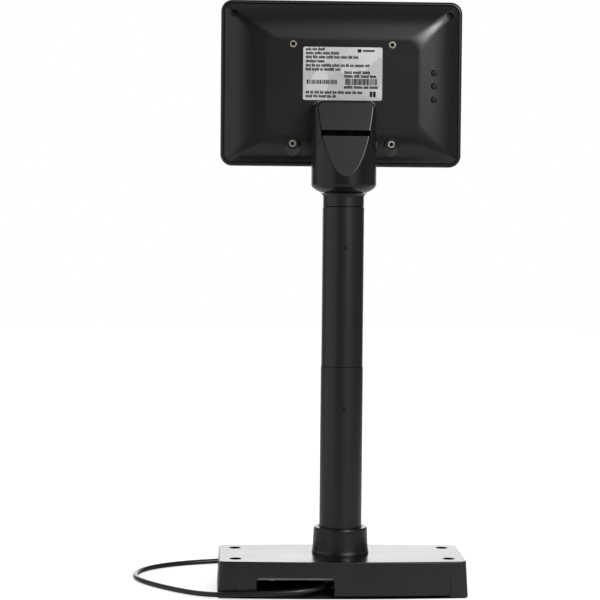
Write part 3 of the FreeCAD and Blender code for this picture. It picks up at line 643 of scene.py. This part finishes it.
LAYER_Z = (0.0027, 0.0068)   # the lower layer winds in, the upper one winds out
COIL_TURNS = 7.194
POINTS_A_TURN = 16
STEPS_IN = (0.65, 1.65, 2.65)      # the turns where the cord moves in, and out again
STEPS_OUT = (4.15, 5.15, 6.15)
STEP_LENGTH = 0.30
CLIMB = (3.25, 3.60)         # the turns between which it climbs to the upper layer


def eased(value, start, end):
    """0 before start, 1 after end, and smooth between them."""
    share = min(max((value - start) / (end - start), 0.0), 1.0)
    return share * share * (3 - 2 * share)


def coil_point(turn):
    """Where the coiled cord is after so many turns."""
    inward = sum(eased(turn, start, start + STEP_LENGTH) for start in STEPS_IN)
    outward = sum(eased(turn, start, start + STEP_LENGTH) for start in STEPS_OUT)
    reach = COIL_OUTER - TURN_STEP * (inward - outward)
    reach /= math.cos(math.pi / POINTS_A_TURN)      # the spline cuts inside its points
    angle = math.radians(-90) - math.tau * turn
    height = LAYER_Z[0] + (LAYER_Z[1] - LAYER_Z[0]) * eased(turn, *CLIMB)
    return (COIL_CENTRE[0] + reach * math.cos(angle), COIL_CENTRE[1] + reach * math.sin(angle), height)


def make_cord():
    """One cord from the notch to the plug, in place of the CAD's three lengths."""
    count = int(COIL_TURNS * POINTS_A_TURN)
    turns = [coil_point((step + 0.5) / POINTS_A_TURN) for step in range(count)]
    points = CORD_ROUTE + turns + TAIL_ROUTE
    curve = bpy.data.curves.new("cord", "CURVE")
    curve.dimensions = "3D"
    spline = curve.splines.new("NURBS")
    spline.points.add(len(points) - 1)
    for spot, point in zip(spline.points, points):
        spot.co = (*point, 1.0)
    spline.order_u = 3
    spline.use_endpoint_u = True
    spline.resolution_u = 10
    curve.bevel_depth = CORD_RADIUS
    curve.bevel_resolution = 6
    curve.use_fill_caps = True
    cord = bpy.data.objects.new("cord", curve)
    bpy.context.scene.collection.objects.link(cord)
    paint(cord, cable_jacket)
    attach(cord, "stand")
    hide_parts("cord_lead", "cord_coil", "cord_tail")
    return cord


STRAP_THICKNESS = 0.0005
STRAP_CORNER = 0.0022
STRAP_EDGE = 0.0003                # the width of its softened edge ...
STRAP_EDGE_DROP = 0.00015          # ... and how much thinner it is there
STRAP_CORNER_STEPS = 6
LAP_INSET = 0.0002
STRAP_SMOOTHING = 50


def make_tie():
    """The hook-and-loop strap round the coil, with its free end lapped over on top."""
    low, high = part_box("cord_tie")
    half_x = (high.x - low.x) / 2
    half_z = (high.z - low.z) / 2
    middle = ((low.x + high.x) / 2, (low.z + high.z) / 2)

    def outline(inset):
        """The strap's path round the bundle, starting at the middle of the top."""
        spots = []
        for side, rise, start in ((-1, 1, 90), (-1, -1, 180), (1, -1, 270), (1, 1, 0)):
            for step in range(STRAP_CORNER_STEPS + 1):
                angle = math.radians(start + 90 * step / STRAP_CORNER_STEPS)
                reach = STRAP_CORNER - inset
                spots.append((middle[0] + side * (half_x - STRAP_CORNER) + reach * math.cos(angle),
                              middle[1] + rise * (half_z - STRAP_CORNER) + reach * math.sin(angle)))
        return spots

    mesh = bmesh.new()
    edges = [(low.y, STRAP_EDGE_DROP), (low.y + STRAP_EDGE, 0.0),
             (high.y - STRAP_EDGE, 0.0), (high.y, STRAP_EDGE_DROP)]
    outer = [[mesh.verts.new((x, y, z)) for x, z in outline(drop)] for y, drop in edges]
    inner = [[mesh.verts.new((x, y, z)) for x, z in outline(STRAP_THICKNESS - drop)] for y, drop in edges]
    shell = outer + inner[::-1]
    for first, second in zip(shell, shell[1:] + shell[:1]):
        for index in range(len(first)):
            following = (index + 1) % len(first)
            mesh.faces.new((first[index], first[following], second[following], second[index]))
    bmesh.ops.recalc_face_normals(mesh, faces=mesh.faces)
    tie = new_piece("coil_strap", mesh, strap_fabric, "stand")
    smooth(tie, STRAP_SMOOTHING)
    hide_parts("cord_tie")

    mesh = bmesh.new()
    lap = []
    for x, lift in ((low.x + 0.0032, 0.0), (low.x + 0.0045, 0.00005), (high.x - 0.0042, 0.00005),
                    (high.x - 0.0026, 0.0001), (high.x - 0.0012, 0.0003)):
        foot = high.z - 0.00005 + lift
        top = foot + STRAP_THICKNESS
        lap.append([(x, low.y + LAP_INSET, foot), (x, high.y - LAP_INSET, foot),
                    (x, high.y - STRAP_EDGE, top), (x, low.y + STRAP_EDGE, top)])
    add_loft(mesh, lap)
    end = new_piece("coil_strap_end", mesh, strap_fabric, "stand")
    smooth(end, STRAP_SMOOTHING)
    return tie, end


# all in mm along the plug, from the cord's end, and from its axis
RELIEF = [                         # the strain relief's stations and radii: ribs, and slots between them
    (0.0, 0.0), (0.0, 2.35), (0.3, 2.6), (1.9, 2.75), (2.2, 2.35), (2.8, 2.35), (3.1, 2.9), (4.7, 3.05),
    (5.0, 2.55), (5.6, 2.55), (5.9, 3.2), (7.5, 3.35), (7.8, 2.8), (8.4, 2.8), (8.7, 3.5), (10.8, 3.65),
]
GRIP_START = 10.5
GRIP_LENGTH = 20.5
GRIP_STEPS = 42
GRIP_HALF_WIDTH = 7.4
GRIP_HALF_HEIGHT = 4.0
GRIP_CORNER = 2.4
GRIP_SHOULDERS = {0: 0.80, 1: 0.93, 2: 0.98}    # its size at the steps nearest its ends
GRIP_WAIST = 0.5
RIBBED_STEPS = range(14, 32)
RIB_PITCH = 3                      # steps from one groove to the next
GROOVE_DEPTH = 0.32
SECTION_STEPS = 6


def rounded_section(x, half_width, half_height, corner, frame_of):
    """A ring of points: a rounded rectangle across the plug's length."""
    spots = []
    for side, rise, start in ((1, 1, 0), (-1, 1, 90), (-1, -1, 180), (1, -1, 270)):
        for step in range(SECTION_STEPS + 1):
            angle = math.radians(start + 90 * step / SECTION_STEPS)
            spots.append(frame_of(x, side * (half_width - corner) + corner * math.cos(angle),
                                  rise * (half_height - corner) + corner * math.sin(angle)))
    return spots


def make_plug():
    """The moulded grip with finger ribs, and its slotted strain relief."""
    end = Vector(TAIL_ROUTE[-1])
    along = (end - Vector(TAIL_ROUTE[-2])).normalized()
    across = Vector((-along.y, along.x, 0.0))

    def frame_of(x, y, z):
        return end + along * x + across * y + Vector((0, 0, z))

    rings = []
    for station, radius in RELIEF:
        reach = max(radius, 0.02) / 1000          # never quite a point, so that the end can close
        rings.append(rounded_section(station / 1000, reach, reach, reach * 0.999, frame_of))
    for step in range(GRIP_STEPS + 1):
        station = GRIP_START + GRIP_LENGTH * step / GRIP_STEPS
        shoulder = GRIP_SHOULDERS.get(min(step, GRIP_STEPS - step), 1.0)
        waist = GRIP_WAIST * math.sin(math.pi * step / GRIP_STEPS) ** 2
        groove = GROOVE_DEPTH if step in RIBBED_STEPS and step % RIB_PITCH == RIB_PITCH - 1 else 0.0
        rings.append(rounded_section(station / 1000, (GRIP_HALF_WIDTH * shoulder - waist - groove) / 1000,
                                     (GRIP_HALF_HEIGHT * shoulder - groove) / 1000,
                                     GRIP_CORNER * shoulder / 1000, frame_of))
    mesh = bmesh.new()
    add_loft(mesh, rings)
    grip = new_piece("plug_grip", mesh, plug_plastic, "stand")
    smooth(grip, 40)
    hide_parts("plug_body")
    return grip


cord = make_cord()
tie, tie_end = make_tie()
plug_pieces = [tie, tie_end, make_plug(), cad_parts["plug_shell"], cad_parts["plug_contacts"]]
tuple(CORD_ROUTE[0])


# ---- the stage, the light and the camera -------------------------------------

FLOOR_HALF_WIDTH = 0.75
FLOOR_FRONT = 0.40
FLOOR_BACK = -3.0
FLOOR_GLOW = 0.6                         # for the camera only, so that the floor reads white
UNDER_BASE = (0.0915, 0.0350, 0.0040)    # half width, half depth at the ends, bow: the floor in there is painted dark, a painted shade
UNDER_BASE_EDGE = 0.001                  # half the width of the change
AMBIENT = 0.11
WORLD_LIGHTS = [
    # turn from the camera's side (its right is positive), height, full inside, gone outside, strength
    (180, 5, 10, 40, 1.85),        # the white backdrop
    (180, 32, 8, 32, 1.75),
    (30, 26, 6, 30, 3.0),          # the glow round the key light
    (35, -2, 8, 30, 0.24),
    (0, 0, 8, 30, 0.20),
    (75, 20, 20, 50, 0.19),        # the camera's right
    (-75, 0, 20, 50, 0.84),        # the camera's left
    (-35, 0, 8, 30, 0.08),
    (-90, 60, 10, 40, 0.25),
    (-130, 35, 15, 45, 0.15),
    (0, 88, 20, 50, 0.23),         # overhead
    (0, -90, 60, 95, 0.17),        # what the table's surroundings throw up
]
KEY_TARGET = (0.0, 0.0, 0.38)      # the middle of the head
KEY_TURN = 28
KEY_HEIGHT = 22
KEY_DISTANCE = 1.4
KEY_SIZE = 0.35
KEY_RADIANCE = 13.0
CAMERA_PLACE = (0.09672, 1.44269, 0.29163)
CAMERA_HEADING = 177.432           # degrees about the vertical
CAMERA_PITCH = 87.049              # degrees up from straight down
CAMERA_ROLL = 0.501
CAMERA_SENSOR = 36.0
CAMERA_LENS = 116.37


def direction_of(turn, height):
    """A direction from the object: degrees round it from the camera's side, and above the table."""
    turn = math.radians(turn)
    height = math.radians(height)
    return Vector((-math.sin(turn) * math.cos(height), math.cos(turn) * math.cos(height), math.sin(height)))


def make_floor():
    """A plain pale table top that runs back to the horizon, painted dark under the base as painted shade.
    """
    mesh = bmesh.new()
    corners = [(-FLOOR_HALF_WIDTH, FLOOR_BACK, 0), (FLOOR_HALF_WIDTH, FLOOR_BACK, 0),
               (FLOOR_HALF_WIDTH, FLOOR_FRONT, 0), (-FLOOR_HALF_WIDTH, FLOOR_FRONT, 0)]
    mesh.faces.new([mesh.verts.new(corner) for corner in corners])
    data = bpy.data.meshes.new("floor")
    mesh.to_mesh(data)
    mesh.free()
    floor = bpy.data.objects.new("floor", data)
    bpy.context.scene.collection.objects.link(floor)
    finish = Finish("studio_floor", (0.90, 0.90, 0.90), 0.9, specular=0.1)
    finish.set("Emission Color", (1.0, 1.0, 1.0, 1.0))
    place = finish.add("ShaderNodeSeparateXYZ")
    finish.link(finish.places, place.inputs["Vector"])
    across, along = place.outputs["X"], place.outputs["Y"]
    half_width, half_depth, bow = UNDER_BASE
    from_middle = finish.together(across, across, "ABSOLUTE")
    past_ends = finish.together(from_middle, finish.level(half_width), "SUBTRACT")
    rounding = finish.together(finish.together(across, across), finish.level(bow / half_width ** 2))
    from_centre_line = finish.together(along, along, "ABSOLUTE")
    past_sides = finish.together(finish.together(from_centre_line, rounding, "ADD"),
                                 finish.level(half_depth + bow), "SUBTRACT")
    past_base = finish.together(past_ends, past_sides, "MAXIMUM")
    open_floor = finish.between(past_base, 0.0, 1.0, -UNDER_BASE_EDGE, UNDER_BASE_EDGE)
    # painted shade: under the base, where only shade falls, the floor is coloured nearly black
    shade = finish.blend(finish.noise(0.8, 2.0), (0.03, 0.03, 0.03), (0.04, 0.04, 0.04))
    pale = finish.blend(finish.noise(0.8, 2.0), (0.89, 0.89, 0.89), (0.91, 0.91, 0.91))
    finish.colour(finish.blend(open_floor, shade, pale))
    glow = finish.together(open_floor, finish.level(FLOOR_GLOW))
    seen = finish.add("ShaderNodeLightPath").outputs["Is Camera Ray"]
    finish.link(finish.together(seen, glow), finish.shader.inputs["Emission Strength"])
    floor.data.materials.append(finish.material)


def make_world():
    """Soft patches of studio light all round the object; the camera itself sees plain white."""
    world = bpy.data.worlds.new("studio")
    bpy.context.scene.world = world
    world.use_nodes = True
    tree = world.node_tree
    tree.nodes.clear()

    def add(kind, **settings):
        node = tree.nodes.new(kind)
        for key, value in settings.items():
            setattr(node, key, value)
        return node

    direction = add("ShaderNodeTexCoord").outputs["Generated"]

    def lobe(towards, inner, outer, strength):
        """Light from around one direction, full inside an angle and gone outside another."""
        dot = add("ShaderNodeVectorMath", operation="DOT_PRODUCT")
        dot.inputs[1].default_value = towards
        tree.links.new(direction, dot.inputs[0])
        level = add("ShaderNodeMapRange", interpolation_type="SMOOTHSTEP")
        level.inputs["From Min"].default_value = math.cos(math.radians(outer))
        level.inputs["From Max"].default_value = math.cos(math.radians(inner))
        level.inputs["To Min"].default_value = 0.0
        level.inputs["To Max"].default_value = strength
        tree.links.new(dot.outputs["Value"], level.inputs["Value"])
        return level.outputs["Result"]

    total = add("ShaderNodeValue")
    total.outputs[0].default_value = AMBIENT
    total = total.outputs[0]
    for turn, height, inner, outer, strength in WORLD_LIGHTS:
        added = add("ShaderNodeMath", operation="ADD")
        tree.links.new(total, added.inputs[0])
        tree.links.new(lobe(direction_of(turn, height), inner, outer, strength), added.inputs[1])
        total = added.outputs[0]
    lit = add("ShaderNodeBackground")
    tree.links.new(total, lit.inputs["Strength"])
    seen = add("ShaderNodeBackground")
    seen.inputs["Color"].default_value = (1.0, 1.0, 1.0, 1.0)
    path = add("ShaderNodeLightPath")
    choice = add("ShaderNodeMixShader")
    tree.links.new(path.outputs["Is Camera Ray"], choice.inputs["Fac"])
    tree.links.new(lit.outputs[0], choice.inputs[1])
    tree.links.new(seen.outputs[0], choice.inputs[2])
    output = add("ShaderNodeOutputWorld")
    tree.links.new(choice.outputs[0], output.inputs["Surface"])


def make_key_softbox():
    """A square area light, high on the camera's right, that faces the head."""
    data = bpy.data.lights.new("key_softbox", "AREA")
    data.shape = "RECTANGLE"
    data.size = KEY_SIZE
    data.size_y = KEY_SIZE
    data.energy = math.pi * KEY_RADIANCE * KEY_SIZE ** 2
    light = bpy.data.objects.new("key_softbox", data)
    target = Vector(KEY_TARGET)
    light.location = target + KEY_DISTANCE * direction_of(KEY_TURN, KEY_HEIGHT)
    light.rotation_euler = (target - light.location).to_track_quat("-Z", "Y").to_euler()
    light.visible_camera = False
    bpy.context.scene.collection.objects.link(light)


def make_camera():
    """The camera behind the stand and a little to the left of its middle."""
    data = bpy.data.cameras.new("camera")
    data.sensor_width = CAMERA_SENSOR
    data.lens = CAMERA_LENS
    camera = bpy.data.objects.new("camera", data)
    turn = (Matrix.Rotation(math.radians(CAMERA_HEADING), 4, "Z")
            @ Matrix.Rotation(math.radians(CAMERA_PITCH), 4, "X")
            @ Matrix.Rotation(math.radians(CAMERA_ROLL), 4, "Z"))
    camera.matrix_world = Matrix.Translation(CAMERA_PLACE) @ turn
    bpy.context.scene.collection.objects.link(camera)
    bpy.context.scene.camera = camera


make_floor()
make_world()
make_key_softbox()
make_camera()
bpy.context.scene.view_settings.view_transform = "Standard"
